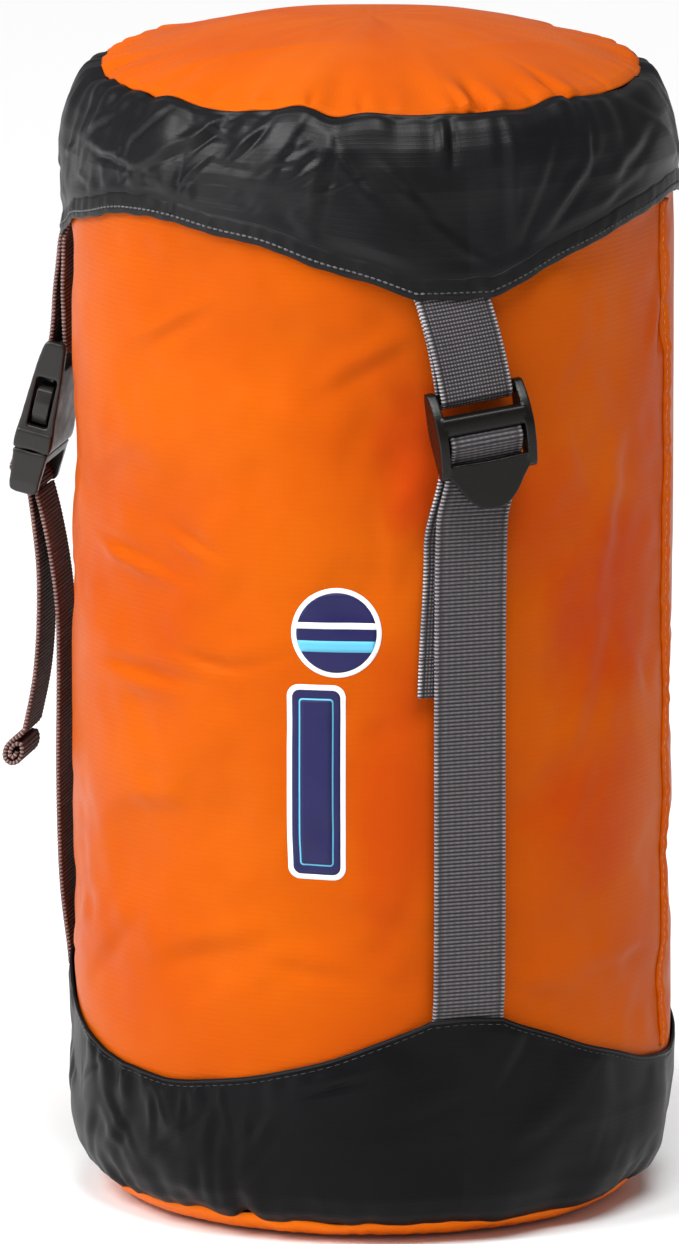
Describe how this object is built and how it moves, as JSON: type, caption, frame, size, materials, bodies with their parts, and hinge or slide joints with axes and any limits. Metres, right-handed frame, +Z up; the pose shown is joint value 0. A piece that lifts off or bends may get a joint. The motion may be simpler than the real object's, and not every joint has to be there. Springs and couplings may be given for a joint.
{
  "type": "compression sack",
  "caption": "Cylindrical nylon stuff sack whose domed lid is pulled down over the gathered mouth by webbing straps with plastic buckles.",
  "frame": {"origin": "middle of the flat base, on the surface that the sack stands on", "axes": "+Z up along the sack, -Y towards the front strap, +X to the right seen from the front"},
  "size_m": [0.224, 0.2129, 0.388],
  "materials": {
    "orange_nylon": "satin ripstop weave",
    "black_nylon": "satin crinkled nylon",
    "webbing": "ribbed grey webbing",
    "cord": "braided sheath",
    "buckle_plastic": "moulded satin",
    "spring_steel": "bright wire",
    "printed_label": "printed film"
  },
  "bodies": {
    "root": {"base_disc": "orange_nylon", "base_yoke": "black_nylon", "body_panel": "orange_nylon", "side_seam": "orange_nylon", "label_panel": "printed_label", "label_badge": "printed_label", "strap_front": "webbing", "strap_left": "webbing", "strap_right": "webbing"},
    "crown": {"mouth_collar": "orange_nylon", "drawcord_channel": "black_nylon", "drawcord": "cord", "drawcord_knot": "cord", "buckle_loop_front": "webbing", "tail_front": "webbing", "tail_left": "webbing", "tail_right": "webbing", "plug_left": "buckle_plastic", "plug_right": "buckle_plastic", "strap_wrap_left": "webbing", "strap_wrap_right": "webbing"},
    "lid": {"lid_disc": "orange_nylon", "lid_skirt": "black_nylon", "lid_hem": "black_nylon", "buckle_loop_left": "webbing", "buckle_loop_right": "webbing"},
    "front_lock": {"ladder_lock_front": "buckle_plastic", "strap_wrap_front": "webbing"},
    "left_socket": {"socket_left": "buckle_plastic"},
    "right_socket": {"socket_right": "buckle_plastic"},
    "left_prong_1": {"prong_left_1": "buckle_plastic"},
    "left_prong_2": {"prong_left_2": "buckle_plastic"},
    "right_prong_1": {"prong_right_1": "buckle_plastic"},
    "right_prong_2": {"prong_right_2": "buckle_plastic"},
    "front_tail_end": {"tail_end_front": "webbing"},
    "left_tail_end": {"tail_end_left": "webbing"},
    "right_tail_end": {"tail_end_right": "webbing"},
    "cord_lock": {"cord_lock_barrel": "buckle_plastic", "cord_lock_spring": "spring_steel"},
    "cord_button": {"cord_lock_plunger": "buckle_plastic"}
  },
  "joints": [
    {"name": "compress", "type": "slide", "parent": "root", "child": "crown", "axis": [0, 0, 1], "range_m": [-0.05, 0.03], "deforming": ["body_panel", "side_seam", "strap_front", "strap_left", "strap_right"]},
    {"name": "lid_open", "type": "hinge", "parent": "crown", "child": "lid", "pos_m": [0, -0.1003, 0.312], "axis": [1, 0, 0], "range_deg": [0, 110]},
    {"name": "left_unclip", "type": "slide", "parent": "lid", "child": "left_socket", "axis": [0.0905, -0.0523, 0.9945], "range_m": [0, 0.024], "deforming": ["buckle_loop_left", "prong_left_1", "prong_left_2"]},
    {"name": "right_unclip", "type": "slide", "parent": "lid", "child": "right_socket", "axis": [-0.0905, -0.0523, 0.9945], "range_m": [0, 0.024], "deforming": ["buckle_loop_right", "prong_right_1", "prong_right_2"]},
    {"name": "left_prong_1_squeeze", "type": "hinge", "parent": "crown", "child": "left_prong_1", "pos_m": [-0.09068, 0.06217, 0.24238], "axis": [0.8438, -0.4872, -0.225], "range_deg": [0, 9], "stiffness_Nm_per_rad": 0.05},
    {"name": "left_prong_2_squeeze", "type": "hinge", "parent": "crown", "child": "left_prong_2", "pos_m": [-0.09918, 0.04745, 0.24238], "axis": [0.8438, -0.4872, -0.225], "range_deg": [-9, 0], "stiffness_Nm_per_rad": 0.05},
    {"name": "right_prong_1_squeeze", "type": "hinge", "parent": "crown", "child": "right_prong_1", "pos_m": [0.09918, 0.04745, 0.24238], "axis": [-0.8438, -0.4872, -0.225], "range_deg": [0, 9], "stiffness_Nm_per_rad": 0.05},
    {"name": "right_prong_2_squeeze", "type": "hinge", "parent": "crown", "child": "right_prong_2", "pos_m": [0.09068, 0.06217, 0.24238], "axis": [-0.8438, -0.4872, -0.225], "range_deg": [-9, 0], "stiffness_Nm_per_rad": 0.05},
    {"name": "front_lock_tilt", "type": "hinge", "parent": "crown", "child": "front_lock", "pos_m": [0.0012, -0.1026, 0.281], "axis": [-0.9925, 0, -0.1219], "range_deg": [0, 30]},
    {"name": "front_tail_run", "type": "slide", "parent": "crown", "child": "front_tail_end", "axis": [0, 0, 1], "range_m": [-0.05, 0.03], "deforming": ["tail_front"]},
    {"name": "left_tail_run", "type": "slide", "parent": "crown", "child": "left_tail_end", "axis": [0, 0, 1], "range_m": [-0.05, 0.03], "deforming": ["tail_left"]},
    {"name": "right_tail_run", "type": "slide", "parent": "crown", "child": "right_tail_end", "axis": [0, 0, 1], "range_m": [-0.05, 0.03], "deforming": ["tail_right"]},
    {"name": "cord_lock_slide", "type": "slide", "parent": "crown", "child": "cord_lock", "axis": [0, 1, 0], "range_m": [-0.007, 0.008]},
    {"name": "cord_button_press", "type": "slide", "parent": "cord_lock", "child": "cord_button", "axis": [-1, 0, 0], "range_m": [0, 0.002], "stiffness_N_per_m": 300, "springref_m": -0.004, "deforming": ["cord_lock_spring"]}
  ],
  "couplings": [
    {"joint": "front_tail_run", "follows": "compress", "ratio": 1},
    {"joint": "left_tail_run", "follows": "compress", "ratio": 1},
    {"joint": "right_tail_run", "follows": "compress", "ratio": 1},
    {"joint": "left_prong_2_squeeze", "follows": "left_prong_1_squeeze", "ratio": -1},
    {"joint": "right_prong_2_squeeze", "follows": "right_prong_1_squeeze", "ratio": -1}
  ]
}
